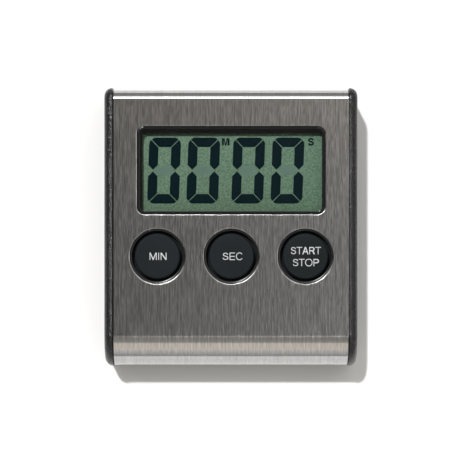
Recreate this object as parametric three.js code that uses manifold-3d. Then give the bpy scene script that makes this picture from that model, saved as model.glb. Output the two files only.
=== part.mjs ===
// Kitchen timer: a flat digital countdown timer in a wrapped steel cover between two moulded end cheeks.
// Millimetres, +Z out of the display face, +Y towards the display's top edge, +X to its right.
// The origin is the centre of the back face, so the timer lies on its back on the plane z = 0.
import * as THREE from 'three';
import { mergeVertices } from 'three/addons/utils/BufferGeometryUtils.js';
import Module from 'manifold-3d';

const wasm = await Module();
wasm.setup();

// ---- Driving dimensions ----
const OVERALL_WIDTH = 64.5;
const OVERALL_LENGTH = 71.2;
const THICKNESS = 20;

const COVER = {
  halfWidth: 29.95, top: 35.05, bottom: -35.4, front: 19.7, sheet: 0.5, topRadius: 2.5, bottomRadius: 8.1,
};
const COVER_WALL_END = { top: 2.6, bottom: 3.2 };
const BACK_RADIUS = { top: 1.5, bottom: 3 };
const CHEEK_ROUND = 1.95;
const CHEEK_INNER = 30.1;

const WINDOW = { y: 14.6, width: 47.9, height: 22.5, radius: 2 };
const RIM_INNER = { width: 46.3, height: 20.9, radius: 1.3 };
const BEZEL = {
  width: 50, height: 24.7, radius: 1.4, wall: 0.7, low: 17, shelfLow: 18.95, shelf: 19.05, rim: 19.5,
};
const LENS = { width: 48.4, height: 23.1, radius: 0.9, low: 17.8, high: 18.9 };
const GASKET = { width: 49.4, height: 24.2, radius: 1, low: 15.35, high: 16.95 };
const GASKET_OPENING = { x: 0.3, y: WINDOW.y - 0.6, width: 46, height: 20.1, radius: 0.5 };
const BUTTON_PITCH = 18.8;
const BUTTON_MIDDLE = 0.1;
const BUTTON_Y = -7.27;
const BUTTON_HOLE_R = 7.1;
const COLLAR = { outer: 6.95, inner: 6.4, crown: 19.7 };
const CAP = { radius: 5.8, crown: 19.9, flangeRadius: 7.3, stemRadius: 2.3, stemEnd: 15.1 };
const BUTTON_TRAVEL = 0.8;

const FRAME = { halfWidth: 28.7, low: 17.6, high: 19.05, gap: 0.15, wall: 1.2, wallEnd: 8 };
const BOARD = { halfWidth: 27, bottom: -26.4, top: 2.6, low: 11.4, high: 12.6 };
const LCD = { halfWidth: 24.6, top: 26.9, front: 15.3, glass: 0.7, ledge: 0.2, rearBottom: 2.4 };
const FILM = { thickness: 0.15, front: [24, 3.3, 26], rear: [24.3, 3, 26.5] };

const PLATE = 2.4;
const CELL = { radius: 5.25, length: 44.5, nub: 0.8, nubRadius: 1.9, y: 21.5, z: 7, negativeEnd: -21.4 };
const BAY = { halfLength: 25.2, halfWidth: 5.6, wall: 0.9, ceiling: 12.4, roof: 0.7 };
const DOOR = { halfWidth: 25.9, start: 15.4, low: 0.15, high: 1.5, tongue: 1.1, tongueLow: 0.95 };
const MAGNET = { x: 19, y: 1, radius: 6, height: 3 };
const BUZZER = { x: -18.6, y: -17.6, radius: 9, ceramicRadius: 6.2, seat: 3.6, thickness: 0.25 };
const STAND = {
  hingeY: 10.5, hingeZ: 1.4, hubRadius: 1.15, pinRadius: 1, halfWidth: 9, tipY: -30, low: 0.25, high: 2.2,
};
const RECESS = { side: 0.4, depth: 2.7, floor: 0.8, wall: 2 };
const CONTACT = { inner: 24.5, outer: 24.8, tab: [8.5, 10.5], slotGap: 0.2 };
const CONTACT_X = (CONTACT.inner + CONTACT.outer) / 2;

const CASE_SCREWS = [[-26.8, 8], [26.8, 8], [-25.5, -28.8], [25.5, -28.8]];
const BOARD_SCREWS = [[-9.4, -2.2], [9.4, -2.2], [-9.4, -18], [9.4, -18]];
const BOSS = { radius: 1.7, end: 4.2, hole: 1.2, seat: 2.9, headHole: 2.3 };
const EAR = { low: 3.1, high: 4.1, halfWidth: 2.2 };
const LEAD_RADIUS = 0.45;

// ---- Geometry helpers ----
const ARC_STEPS = 3; // an arc gets twice as many sides
const TO_SIDE = new THREE.Matrix4().makeBasis(
  new THREE.Vector3(0, 1, 0), new THREE.Vector3(0, 0, 1), new THREE.Vector3(1, 0, 0));

function toSolid(geometry) {
  const bare = geometry.clone();
  bare.deleteAttribute('normal');
  bare.deleteAttribute('uv');
  const merged = mergeVertices(bare, 1e-5);
  return new wasm.Manifold(new wasm.Mesh({
    numProp: 3,
    vertProperties: new Float32Array(merged.attributes.position.array),
    triVerts: new Uint32Array(merged.index.array),
  }));
}

function toGeometry(solid) {
  const mesh = solid.getMesh();
  const geometry = new THREE.BufferGeometry();
  geometry.setAttribute('position', new THREE.BufferAttribute(new Float32Array(mesh.vertProperties), 3));
  geometry.setIndex(new THREE.BufferAttribute(new Uint32Array(mesh.triVerts), 1));
  geometry.computeVertexNormals();
  return geometry;
}

/** Joins the first list of geometries and cuts the second from the result. */
function shapeOf(added, cut = []) {
  let solid = toSolid(added[0]);
  for (const piece of added.slice(1)) solid = solid.add(toSolid(piece));
  for (const piece of cut) solid = solid.subtract(toSolid(piece));
  return toGeometry(solid);
}

const extruded = (shape, depth) =>
  new THREE.ExtrudeGeometry(shape, { depth, bevelEnabled: false, curveSegments: ARC_STEPS });

/** A flat shape in X and Y, raised between two heights. */
function raised(shape, low, high) {
  return extruded(shape, high - low).translate(0, 0, low);
}

/** A side outline in Y and Z, drawn out along X. */
function drawnAcross(shape, left, right) {
  return extruded(shape, right - left).applyMatrix4(TO_SIDE).translate(left, 0, 0);
}

function roundedRect(x, y, width, height, radius) {
  const [left, right, low, high] = [x - width / 2, x + width / 2, y - height / 2, y + height / 2];
  const shape = new THREE.Shape();
  shape.moveTo(left + radius, low);
  shape.absarc(right - radius, low + radius, radius, -Math.PI / 2, 0, false);
  shape.absarc(right - radius, high - radius, radius, 0, Math.PI / 2, false);
  shape.absarc(left + radius, high - radius, radius, Math.PI / 2, Math.PI, false);
  shape.absarc(left + radius, low + radius, radius, Math.PI, 1.5 * Math.PI, false);
  shape.closePath();
  return shape;
}

function ringShape(outer, inner) {
  outer.holes.push(inner);
  return outer;
}

/** A box between two corners. */
function block(x0, x1, y0, y1, z0, z1) {
  return new THREE.BoxGeometry(x1 - x0, y1 - y0, z1 - z0)
    .translate((x0 + x1) / 2, (y0 + y1) / 2, (z0 + z1) / 2);
}

/** A cylinder standing along Z. */
function post(x, y, radius, low, high, sides = 20) {
  return new THREE.CylinderGeometry(radius, radius, high - low, sides)
    .rotateX(Math.PI / 2).translate(x, y, (low + high) / 2);
}

/** A cylinder lying along X. */
function rod(y, z, radius, left, right, sides = 20) {
  return new THREE.CylinderGeometry(radius, radius, right - left, sides)
    .rotateZ(Math.PI / 2).translate((left + right) / 2, y, z);
}

/** A profile of [radius, height] points turned round the vertical through (x, y). */
function turned(points, x, y, sides = 32) {
  const profile = points.map(([radius, height]) => new THREE.Vector2(radius, height));
  return new THREE.LatheGeometry(profile, sides).rotateX(Math.PI / 2).translate(x, y, 0);
}

/** A round wire along a curve. */
function wire(curve, radius, steps, sides = 6) {
  const section = new THREE.Shape();
  section.absarc(0, 0, radius, 0, 2 * Math.PI, false);
  return new THREE.ExtrudeGeometry(section, { steps, curveSegments: sides / 2, extrudePath: curve });
}

// ---- Side outlines, in Y and Z ----
/** The cover's outer or inner line, from the top wall's end, over the front, to the bottom wall's end. */
function traceCover(path, inset, forwards) {
  const { top, bottom, front, topRadius, bottomRadius } = COVER;
  const high = front - topRadius;
  const low = front - bottomRadius;
  if (forwards) {
    path.moveTo(top - inset, COVER_WALL_END.top);
    path.absarc(top - topRadius, high, topRadius - inset, 0, Math.PI / 2, false);
    path.absarc(bottom + bottomRadius, low, bottomRadius - inset, Math.PI / 2, Math.PI, false);
    path.lineTo(bottom + inset, COVER_WALL_END.bottom);
    return;
  }
  path.lineTo(bottom + inset, COVER_WALL_END.bottom);
  path.absarc(bottom + bottomRadius, low, bottomRadius - inset, Math.PI, Math.PI / 2, true);
  path.absarc(top - topRadius, high, topRadius - inset, Math.PI / 2, 0, true);
  path.lineTo(top - inset, COVER_WALL_END.top);
}

function coverOutline() {
  const shape = new THREE.Shape();
  traceCover(shape, 0, true);
  traceCover(shape, COVER.sheet, false);
  shape.closePath();
  return shape;
}

/** A band under the cover, from wallEnd at the top edge round to wallEnd at the bottom edge. */
function liningOutline(wall, wallEnd) {
  const outer = COVER.sheet + FRAME.gap;
  const inner = outer + wall;
  const { top, bottom, front, topRadius, bottomRadius } = COVER;
  const high = front - topRadius;
  const low = front - bottomRadius;
  const topInner = Math.max(topRadius - inner, 0.1);
  const shape = new THREE.Shape();
  shape.moveTo(top - outer, wallEnd);
  shape.absarc(top - topRadius, high, topRadius - outer, 0, Math.PI / 2, false);
  shape.absarc(bottom + bottomRadius, low, bottomRadius - outer, Math.PI / 2, Math.PI, false);
  shape.lineTo(bottom + outer, wallEnd);
  shape.lineTo(bottom + inner, wallEnd);
  shape.absarc(bottom + bottomRadius, low, bottomRadius - inner, Math.PI, Math.PI / 2, true);
  shape.absarc(top - inner - topInner, front - inner - topInner, topInner, Math.PI / 2, 0, true);
  shape.lineTo(top - inner, wallEnd);
  shape.closePath();
  return shape;
}

/** The whole side outline, which the end cheeks follow, shrunk all round by inset. */
function cheekOutline(inset) {
  const half = OVERALL_LENGTH / 2 - inset;
  const [back, front] = [inset, THICKNESS - inset];
  const proud = 0.4;
  const [frontTop, frontBottom] = [COVER.topRadius + proud - inset, COVER.bottomRadius + proud - inset];
  const [backTop, backBottom] = [BACK_RADIUS.top + 1 - inset, BACK_RADIUS.bottom + 1 - inset];
  const shape = new THREE.Shape();
  shape.moveTo(half, back + backTop);
  shape.absarc(half - frontTop, front - frontTop, frontTop, 0, Math.PI / 2, false);
  shape.absarc(-half + frontBottom, front - frontBottom, frontBottom, Math.PI / 2, Math.PI, false);
  shape.absarc(-half + backBottom, back + backBottom, backBottom, Math.PI, 1.5 * Math.PI, false);
  shape.absarc(half - backTop, back + backTop, backTop, 1.5 * Math.PI, 2 * Math.PI, false);
  return shape;
}

/** The back plate's side outline, which takes over from the cover's walls. */
function plateOutline() {
  const { top, bottom } = COVER;
  const shape = new THREE.Shape();
  shape.moveTo(top, COVER_WALL_END.top - 0.15);
  shape.lineTo(bottom + 2.5, COVER_WALL_END.top - 0.15);
  shape.lineTo(bottom + 2.2, COVER_WALL_END.bottom - 0.15);
  shape.lineTo(bottom, COVER_WALL_END.bottom - 0.15);
  const [topR, bottomR] = [BACK_RADIUS.top, BACK_RADIUS.bottom];
  shape.absarc(bottom + bottomR, bottomR, bottomR, Math.PI, 1.5 * Math.PI, false);
  shape.absarc(top - topR, topR, topR, 1.5 * Math.PI, 2 * Math.PI, false);
  shape.closePath();
  return shape;
}

// ---- Shell ----
function frontCover() {
  const wrap = drawnAcross(coverOutline(), -COVER.halfWidth, COVER.halfWidth);
  const opening = raised(roundedRect(0, WINDOW.y, WINDOW.width, WINDOW.height, WINDOW.radius), 15, 25);
  const holes = buttonPlaces().map(({ x }) => post(x, BUTTON_Y, BUTTON_HOLE_R, 15, 25, 32));
  return shapeOf([wrap], [opening, ...holes]);
}

/** One end cheek. side is -1 on the left and +1 on the right. */
function endCheek(side) {
  const plateDepth = OVERALL_WIDTH / 2 - CHEEK_INNER;
  const plate = new THREE.ExtrudeGeometry(cheekOutline(CHEEK_ROUND), {
    depth: plateDepth - CHEEK_ROUND,
    curveSegments: ARC_STEPS,
    bevelThickness: CHEEK_ROUND,
    bevelSize: CHEEK_ROUND,
    bevelSegments: 4,
  });
  plate.applyMatrix4(TO_SIDE).translate(CHEEK_INNER, 0, 0);
  const flatBack = block(CHEEK_INNER - 5, CHEEK_INNER, -50, 50, -10, 50);
  const lip = drawnAcross(liningOutline(1, 6), FRAME.halfWidth + 0.2, CHEEK_INNER + 0.2);
  const ears = [];
  const earHoles = [];
  const { halfWidth, low, high } = EAR;
  for (const [x, y] of CASE_SCREWS.filter((place) => place[0] > 0)) {
    ears.push(block(x - halfWidth, CHEEK_INNER + 0.2, y - halfWidth, y + halfWidth, low, high));
    earHoles.push(post(x, y, 1.25, low - 1, high + 1, 16));
  }
  const body = toSolid(plate).subtract(toSolid(flatBack));
  const cheek = shapeOf([toGeometry(body), lip, ...ears], earHoles);
  return side > 0 ? cheek : mirrored(cheek);
}

/** The same solid on the other side of the plane x = 0. */
function mirrored(geometry) {
  const copy = geometry.clone().scale(-1, 1, 1);
  const index = copy.index.array;
  for (let i = 0; i < index.length; i += 3) [index[i], index[i + 1]] = [index[i + 1], index[i]];
  copy.computeVertexNormals();
  return copy;
}

/** The black chassis under the cover, with the window seat, three button collars and the screw bosses. */
function frontFrame() {
  const lining = drawnAcross(liningOutline(FRAME.wall, FRAME.wallEnd), -FRAME.halfWidth, FRAME.halfWidth);
  const { outer, inner, crown } = COLLAR;
  const collars = buttonPlaces().map(({ x }) => turned([
    [inner, FRAME.low], [outer, FRAME.low], [outer, crown - 0.1], [outer - 0.1, crown],
    [inner + 0.12, crown - 0.08], [inner, crown - 0.3], [inner, FRAME.low]], x, BUTTON_Y, 28));
  const bosses = CASE_SCREWS.map(([x, y]) => post(x, y, BOSS.radius, BOSS.end, FRAME.low + 0.5, 12));
  const pillars = BOARD_SCREWS.map(([x, y]) => post(x, y, 1.8, BOARD.high + 0.1, FRAME.low + 0.5, 12));
  const caseHoles = CASE_SCREWS.map(([x, y]) => post(x, y, BOSS.hole, BOSS.end - 1, 13, 8));
  const boardHoles = BOARD_SCREWS.map(([x, y]) => post(x, y, 1.05, BOARD.high - 1, 16.3, 8));
  const buttonHoles = buttonPlaces().map(({ x }) => post(x, BUTTON_Y, inner + 0.2, 15, 19.1, 28));
  const { width, height } = BEZEL;
  const seat = raised(roundedRect(0, WINDOW.y, width + 0.3, height + 0.3, 1.5), 15, 25);
  const windowFree = block(-LCD.halfWidth - 0.3, LCD.halfWidth + 0.3, 0, LCD.top + 0.3, 12, FRAME.low);
  const plate = shapeOf([lining, ...bosses, ...pillars], [...buttonHoles, seat, windowFree]);
  return shapeOf([plate, ...collars], [...caseHoles, ...boardHoles]);
}

/** The back moulding, with the battery bay, magnet cups, buzzer ring, stand recess and sound holes. */
function rearHousing() {
  const plate = drawnAcross(plateOutline(), -COVER.halfWidth, COVER.halfWidth);
  const topInside = COVER.top - COVER.sheet - FRAME.gap;
  const bottomInside = COVER.bottom + COVER.sheet + FRAME.gap;
  const wallEnd = FRAME.wallEnd - 0.2;
  const innerWall = (start, end) => block(-FRAME.halfWidth, FRAME.halfWidth, start, end, 2, wallEnd);
  const wallTop = innerWall(topInside - FRAME.wall, topInside);
  const wallBottom = innerWall(bottomInside, bottomInside + FRAME.wall);
  const bay = block(-BAY.halfLength - BAY.wall, BAY.halfLength + BAY.wall,
    CELL.y - BAY.halfWidth - BAY.wall, CELL.y + BAY.halfWidth + BAY.wall, 1, BAY.ceiling + BAY.roof);
  const recessHalf = STAND.halfWidth + RECESS.side;
  const recessTop = STAND.hingeY + STAND.hubRadius + 0.25;
  const recessBottom = STAND.tipY - 0.4;
  const recessBlock = block(-recessHalf - RECESS.wall, recessHalf + RECESS.wall,
    recessBottom - 1.2, recessTop + 1.05, 1, RECESS.depth + RECESS.floor);
  const atMagnet = (side, radius, low, high, sides) =>
    post(side * MAGNET.x, MAGNET.y, radius, low, high, sides);
  const cups = [-1, 1].map((side) => atMagnet(side, MAGNET.radius + 0.9, 1, MAGNET.height + 1, 28));
  const buzzerRing = post(BUZZER.x, BUZZER.y, BUZZER.radius + 0.4, 1, BUZZER.seat, 28);
  const screwSeats = CASE_SCREWS.map(([x, y]) => post(x, y, BOSS.seat, 1, 3, 20));
  const cuts = [
    block(-BAY.halfLength, BAY.halfLength, CELL.y - BAY.halfWidth, CELL.y + BAY.halfWidth, -1, BAY.ceiling),
    block(-DOOR.halfWidth - 0.2, DOOR.halfWidth + 0.2, DOOR.start - 0.2, 40, -1, DOOR.high + 0.2),
    block(-DOOR.halfWidth - DOOR.tongue - 0.2, DOOR.halfWidth + DOOR.tongue + 0.2, DOOR.start - 0.2, 40,
      DOOR.tongueLow - 0.15, DOOR.high + 0.2),
    raised(roundedRect(0, (recessTop + recessBottom) / 2, 2 * recessHalf, recessTop - recessBottom, 1),
      -1, RECESS.depth),
    block(-6, 6, STAND.tipY - 3, STAND.tipY, -1, 2),
    rod(STAND.hingeY, STAND.hingeZ, STAND.pinRadius + 0.08, -recessHalf - 1.2, recessHalf + 1.2, 24),
    post(BUZZER.x, BUZZER.y, BUZZER.radius - 0.8, PLATE, 8, 28),
  ];
  for (const side of [-1, 1]) {
    cuts.push(atMagnet(side, MAGNET.radius + 0.15, -1, MAGNET.height + 0.2, 32));
    const [tabLow, tabHigh] = CONTACT.tab;
    cuts.push(block(side * CONTACT_X - 0.35, side * CONTACT_X + 0.35, CELL.y - 8, CELL.y - 4,
      tabLow - CONTACT.slotGap, tabHigh + CONTACT.slotGap));
  }
  for (const [x, y] of CASE_SCREWS) {
    cuts.push(post(x, y, BOSS.headHole, -1, 1.6, 20));
    cuts.push(post(x, y, 1.25, 1, 4, 12));
  }
  for (const [dx, dy] of soundHolePlaces()) cuts.push(post(BUZZER.x + dx, BUZZER.y + dy, 0.8, -1, 3, 10));
  return shapeOf([plate, wallTop, wallBottom, bay, recessBlock, ...cups, buzzerRing, ...screwSeats], cuts);
}

/** One hole in the middle and six round it. */
function soundHolePlaces() {
  const places = [[0, 0]];
  const reach = 3.2;
  for (let i = 0; i < 6; i++) {
    const angle = i * Math.PI / 3;
    places.push([reach * Math.cos(angle), reach * Math.sin(angle)]);
  }
  return places;
}

function batteryDoor() {
  const edge = new THREE.Shape();
  const { top } = COVER;
  edge.moveTo(top, DOOR.high);
  edge.lineTo(DOOR.start, DOOR.high);
  edge.lineTo(DOOR.start, DOOR.low);
  const round = BACK_RADIUS.top;
  edge.absarc(top - round, round + DOOR.low, round, 1.5 * Math.PI, 1.9 * Math.PI, false);
  edge.closePath();
  const panel = drawnAcross(edge, -DOOR.halfWidth, DOOR.halfWidth);
  const tongues = block(-DOOR.halfWidth - DOOR.tongue, DOOR.halfWidth + DOOR.tongue,
    DOOR.start, top - BACK_RADIUS.top, DOOR.tongueLow, DOOR.high);
  return shapeOf([panel, tongues]);
}

// ---- Display ----
function displayBezel() {
  const { width, height, radius, wall, low, shelfLow, shelf, rim } = BEZEL;
  const outline = (shrink) => windowRect(width - shrink, height - shrink, radius - shrink / 4);
  const opening = () => windowRect(RIM_INNER.width, RIM_INNER.height, RIM_INNER.radius);
  const lip = windowRect(WINDOW.width - 0.3, WINDOW.height - 0.3, WINDOW.radius - 0.15);
  return shapeOf([
    raised(ringShape(lip, opening()), shelfLow, rim),
    raised(ringShape(outline(0), outline(2 * wall)), low, shelf),
    raised(ringShape(outline(wall), opening()), shelfLow, shelf),
  ]);
}

const windowRect = (width, height, radius) => roundedRect(0, WINDOW.y, width, height, radius);

const displayLens = () => raised(windowRect(LENS.width, LENS.height, LENS.radius), LENS.low, LENS.high);

function displayGasket() {
  const { x, y, width, height, radius } = GASKET_OPENING;
  const outline = windowRect(GASKET.width, GASKET.height, GASKET.radius);
  return raised(ringShape(outline, roundedRect(x, y, width, height, radius)), GASKET.low, GASKET.high);
}

/** One layer of the display cell between two heights. */
function lcdLayer([halfWidth, bottom, top], low, thickness) {
  return block(-halfWidth, halfWidth, bottom, top, low, low + thickness);
}

// ---- Buttons ----
function buttonPlaces() {
  return [
    { name: 'min', x: BUTTON_MIDDLE - BUTTON_PITCH },
    { name: 'sec', x: BUTTON_MIDDLE },
    { name: 'start_stop', x: BUTTON_MIDDLE + BUTTON_PITCH },
  ];
}

const buttonCap = (x) => turned([
  [0, CAP.stemEnd], [CAP.stemRadius, CAP.stemEnd], [CAP.stemRadius, 16], [CAP.flangeRadius, 16],
  [CAP.flangeRadius, 17.2], [CAP.radius, 17.2], [CAP.radius, CAP.crown - 0.5],
  [CAP.radius - 0.5, CAP.crown], [0, CAP.crown]], x, BUTTON_Y, 28);

const rubberDome = (x) => turned([
  [0, 14.3], [2.2, 14.3], [4.2, BOARD.high + 0.05], [6, BOARD.high + 0.05], [6, 13.15], [4.8, 13.15],
  [2.8, 15], [0, 15]], x, BUTTON_Y, 16);

const contactPill = (x) => post(x, BUTTON_Y, 1.6, BOARD.high + BUTTON_TRAVEL + 0.1, 14.2, 16);

// ---- Electronics ----
function circuitBoard() {
  const { halfWidth, bottom, top, low, high } = BOARD;
  const outline = roundedRect(0, (bottom + top) / 2, 2 * halfWidth, top - bottom, 1);
  const holes = BOARD_SCREWS.map(([x, y]) => post(x, y, 1.1, low - 1, high + 1, 12));
  return shapeOf([raised(outline, low, high)], holes);
}

const chipBlob = () => turned([
  [0, BOARD.low - 0.05], [4.6, BOARD.low - 0.05], [4.2, 10.9], [3, 10.5], [0, 10.3]].reverse(), 0, -11, 20);

const crystalCan = () => rod(-22, BOARD.low - 1.2, 1, -4, 4, 14);

const boardScrew = ([x, y]) => turned([
  [0, 10.2], [1.5, 10.2], [1.8, 10.6], [1.8, 11.3], [0.85, 11.3], [0.85, 15.8], [0, 16.2]], x, y, 8);

const caseScrew = ([x, y]) => turned([
  [0, 0.35], [1.9, 0.35], [2.1, 0.6], [2.1, 1.5], [1.05, 1.5], [1.05, 11.4], [0, 12]], x, y, 12);

function buzzerDisc() {
  const low = BUZZER.seat + 0.05;
  return post(BUZZER.x, BUZZER.y, BUZZER.radius, low, low + BUZZER.thickness, 36);
}

function buzzerCeramic() {
  const low = BUZZER.seat + 0.1 + BUZZER.thickness;
  return post(BUZZER.x, BUZZER.y, BUZZER.ceramicRadius, low, low + BUZZER.thickness, 28);
}

/** A lead that bends through the given points. */
function lead(points) {
  const route = points.map((point) => new THREE.Vector3(...point));
  return wire(new THREE.CatmullRomCurve3(route), LEAD_RADIUS, 8);
}

function leadRoutes() {
  const buzzerTop = BUZZER.seat + 2 * BUZZER.thickness + 0.7;
  const boardUnder = BOARD.low - 0.7;
  const { x, y } = BUZZER;
  return {
    buzzer_lead_live: [[x, y, buzzerTop], [-20.5, -16, 7], [-23.5, -13, 9], [-24, -12, boardUnder]],
    buzzer_lead_ground: [
      [x - 7.5, y, buzzerTop - 0.3], [-26, -15.5, 7], [-25, -9.5, 9.5], [-24, -8, boardUnder]],
    battery_lead_minus: [[-CONTACT_X, 12.6, 9.5], [-24.6, 8, 8.5], [-23.4, 1, 9], [-22, -3, boardUnder]],
    battery_lead_plus: [[CONTACT_X, 12.6, 9.5], [24.4, 8, 8.5], [23.4, 1, 9], [22, -3, boardUnder]],
  };
}

// ---- Power ----
function batteryCell() {
  const { radius, length, nub, nubRadius, y, z, negativeEnd } = CELL;
  const shoulder = negativeEnd + length - nub;
  const can = rod(y, z, radius, negativeEnd, shoulder, 32);
  return shapeOf([can, rod(y, z, nubRadius, shoulder - 0.5, shoulder + nub, 16)]);
}

/** A flat contact with its solder tab. side is -1 for the minus end and +1 for the plus end. */
function contactPlate(side) {
  const { inner, outer } = CONTACT;
  const [x0, x1] = side > 0 ? [inner, outer] : [-outer, -inner];
  const plate = block(x0, x1, CELL.y - 4.5, CELL.y + 4.5, CELL.z - 4, CELL.z + 4.6);
  const tab = block(x0, x1, CELL.y - 8.4, CELL.y - 4, ...CONTACT.tab);
  const cellEnd = CELL.negativeEnd + CELL.length;
  const bump = side > 0 ? [rod(CELL.y, CELL.z, 1.8, cellEnd + 0.1, inner + 0.1, 16)] : [];
  return shapeOf([plate, tab, ...bump]);
}

/** A conical coil that presses on the cell's minus end. */
class ConeCoil extends THREE.Curve {
  getPoint(t, target = new THREE.Vector3()) {
    const turns = 3;
    const [wide, narrow] = [3.8, 2.2];
    const radius = wide + (narrow - wide) * t;
    const angle = 2 * Math.PI * turns * t;
    const x = -24 + (CELL.negativeEnd - 0.5 + 24) * t;
    return target.set(x, CELL.y + radius * Math.cos(angle), CELL.z + radius * Math.sin(angle));
  }
}

const batterySpring = () => wire(new ConeCoil(), 0.35, 36);

// ---- Back fittings ----
const magnetDisc = (side) => post(side * MAGNET.x, MAGNET.y, MAGNET.radius, 0, MAGNET.height, 32);

/** The fold-out leg with its hub and two stub pins. */
function standLeg() {
  const { hingeY, hingeZ, hubRadius, pinRadius, halfWidth, tipY, low, high } = STAND;
  const leg = raised(roundedRect(0, (hingeY + tipY) / 2, 2 * halfWidth, hingeY - tipY, 2.5), low, high);
  const squareTop = block(-halfWidth, halfWidth, hingeY - 4, hingeY, low, high);
  const hub = rod(hingeY, hingeZ, hubRadius, -halfWidth, halfWidth, 20);
  const pins = rod(hingeY, hingeZ, pinRadius, -halfWidth - 1.4, halfWidth + 1.4, 20);
  return shapeOf([leg, squareTop, hub, pins]);
}

// ---- Assembly ----
const paint = (color, roughness, metalness) => ({ color, roughness, metalness });
const STEEL = paint(0xa9a7a3, 0.32, 1);
const TEXTURED_BLACK = paint(0x1c1d20, 0.6, 0);
const FRAME_BLACK = paint(0x17181a, 0.45, 0);
const GLOSS_BLACK = paint(0x101113, 0.2, 0);
const CAP_CHARCOAL = paint(0x2b2d30, 0.55, 0);
const CLEAR = paint(0xe8f0ee, 0.05, 0);
const LCD_GLASS = paint(0xcfdccf, 0.08, 0);
const LCD_GREEN = paint(0x8b9c8a, 0.5, 0);
const FOAM = paint(0x141414, 0.9, 0);
const RUBBER = paint(0x6f7276, 0.75, 0);
const CARBON = paint(0x101010, 0.8, 0);
const BOARD_GREEN = paint(0x1f5a34, 0.5, 0);
const EPOXY = paint(0x0c0c0c, 0.3, 0);
const NICKEL = paint(0xc9cbd0, 0.25, 1);
const BRASS = paint(0xc9a24b, 0.35, 1);
const CERAMIC_WHITE = paint(0xe5e0d4, 0.5, 0);
const CELL_SLEEVE = paint(0x2c4f7c, 0.35, 0);
const RED_LEAD = paint(0xa3201c, 0.45, 0);
const BLACK_LEAD = paint(0x151515, 0.45, 0);

const timer = new THREE.Group();

function place(name, geometry, look) {
  const mesh = new THREE.Mesh(geometry, new THREE.MeshStandardMaterial(look));
  mesh.name = name;
  timer.add(mesh);
}

place('front_cover', frontCover(), STEEL);
place('left_cheek', endCheek(-1), TEXTURED_BLACK);
place('right_cheek', endCheek(1), TEXTURED_BLACK);
place('front_frame', frontFrame(), FRAME_BLACK);
place('rear_housing', rearHousing(), TEXTURED_BLACK);
place('battery_door', batteryDoor(), TEXTURED_BLACK);

place('display_bezel', displayBezel(), GLOSS_BLACK);
place('display_lens', displayLens(), CLEAR);
place('display_gasket', displayGasket(), FOAM);
const frontGlassLow = LCD.front - FILM.thickness - 0.05 - LCD.glass;
const rearGlassLow = frontGlassLow - 0.05 - LCD.glass;
const frontGlass = [LCD.halfWidth, LCD.ledge, LCD.top];
const rearGlass = [LCD.halfWidth, LCD.rearBottom, LCD.top];
place('lcd_polariser', lcdLayer(FILM.front, LCD.front - FILM.thickness, FILM.thickness), LCD_GREEN);
place('lcd_front_glass', lcdLayer(frontGlass, frontGlassLow, LCD.glass), LCD_GLASS);
place('lcd_rear_glass', lcdLayer(rearGlass, rearGlassLow, LCD.glass), LCD_GLASS);
place('lcd_reflector', lcdLayer(FILM.rear, rearGlassLow - FILM.thickness, 0.1), LCD_GREEN);
place('zebra_strip', block(-21, 21, 0.5, 1.9, BOARD.high + 0.05, frontGlassLow - 0.05), RUBBER);

for (const { name, x } of buttonPlaces()) {
  place(`${name}_button_cap`, buttonCap(x), CAP_CHARCOAL);
  place(`${name}_dome`, rubberDome(x), RUBBER);
  place(`${name}_contact_pill`, contactPill(x), CARBON);
}

place('circuit_board', circuitBoard(), BOARD_GREEN);
place('timer_chip', chipBlob(), EPOXY);
place('quartz_crystal', crystalCan(), NICKEL);
place('capacitor_1', block(12, 14, -13, -11.8, 10.4, BOARD.low - 0.05), CERAMIC_WHITE);
place('capacitor_2', block(12, 14, -16, -14.8, 10.4, BOARD.low - 0.05), CERAMIC_WHITE);
place('resistor', block(15.5, 17.5, -14.5, -13.3, 10.7, BOARD.low - 0.05), EPOXY);
BOARD_SCREWS.forEach((at, i) => place(`board_screw_${i + 1}`, boardScrew(at), NICKEL));

place('buzzer_disc', buzzerDisc(), BRASS);
place('buzzer_ceramic', buzzerCeramic(), CERAMIC_WHITE);
for (const [name, route] of Object.entries(leadRoutes())) {
  place(name, lead(route), /plus|live/.test(name) ? RED_LEAD : BLACK_LEAD);
}

place('battery_cell', batteryCell(), CELL_SLEEVE);
place('battery_contact_minus', contactPlate(-1), NICKEL);
place('battery_contact_plus', contactPlate(1), NICKEL);
place('battery_spring', batterySpring(), NICKEL);

place('left_magnet', magnetDisc(-1), NICKEL);
place('right_magnet', magnetDisc(1), NICKEL);
place('stand_leg', standLeg(), TEXTURED_BLACK);
CASE_SCREWS.forEach((at, i) => place(`case_screw_${i + 1}`, caseScrew(at), NICKEL));

export default timer;
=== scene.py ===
"""Kitchen timer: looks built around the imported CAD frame. Lengths in the mesh code are millimetres."""
import math

import bmesh
import bpy
from mathutils import Matrix, Vector


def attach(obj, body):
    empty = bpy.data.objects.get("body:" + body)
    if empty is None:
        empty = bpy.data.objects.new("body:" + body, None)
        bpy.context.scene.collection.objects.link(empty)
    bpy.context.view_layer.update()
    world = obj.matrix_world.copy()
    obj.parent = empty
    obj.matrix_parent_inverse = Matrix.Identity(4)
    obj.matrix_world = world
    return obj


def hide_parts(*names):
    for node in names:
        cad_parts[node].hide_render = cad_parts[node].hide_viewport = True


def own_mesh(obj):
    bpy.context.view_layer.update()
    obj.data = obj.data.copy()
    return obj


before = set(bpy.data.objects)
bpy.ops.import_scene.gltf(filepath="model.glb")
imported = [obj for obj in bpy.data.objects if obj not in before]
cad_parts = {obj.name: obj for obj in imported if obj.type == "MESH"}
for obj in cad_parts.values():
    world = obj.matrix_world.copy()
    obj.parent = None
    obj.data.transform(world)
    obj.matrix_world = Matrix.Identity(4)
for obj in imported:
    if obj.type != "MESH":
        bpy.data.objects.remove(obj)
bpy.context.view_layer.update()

MM = 0.001

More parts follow.
